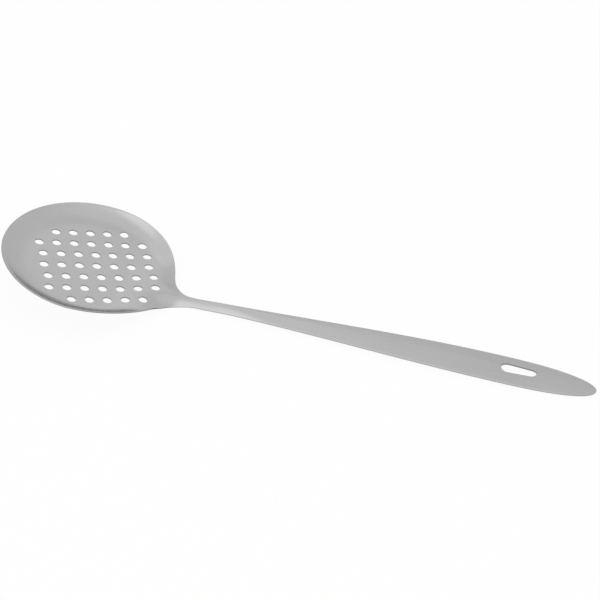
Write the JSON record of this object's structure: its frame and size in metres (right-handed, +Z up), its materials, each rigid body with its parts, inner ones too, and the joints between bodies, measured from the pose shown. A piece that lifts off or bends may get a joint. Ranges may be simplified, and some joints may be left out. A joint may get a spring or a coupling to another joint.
{
  "type": "skimmer",
  "caption": "Kitchen skimmer: a shallow dished steel bowl with a grid of drain holes, welded at a waisted neck to a long arched handle with a hanging slot, for lifting food out of liquid.",
  "frame": {"origin": "bottom centre of the whole skimmer as it lies on a table, on the edges of the neck and the tip of the handle", "axes": "+X along the handle, from the bowl to the hanging end; +Y across; +Z up, out of the hollow side of the bowl"},
  "size_m": [0.3656, 0.1112, 0.031],
  "materials": {
    "bowl_steel": "satin",
    "handle_steel": "satin",
    "weld_steel": "satin, ground flush"
  },
  "bodies": {
    "root": {"bowl": "bowl_steel", "handle": "handle_steel", "neck_weld": "weld_steel"}
  },
  "joints": []
}
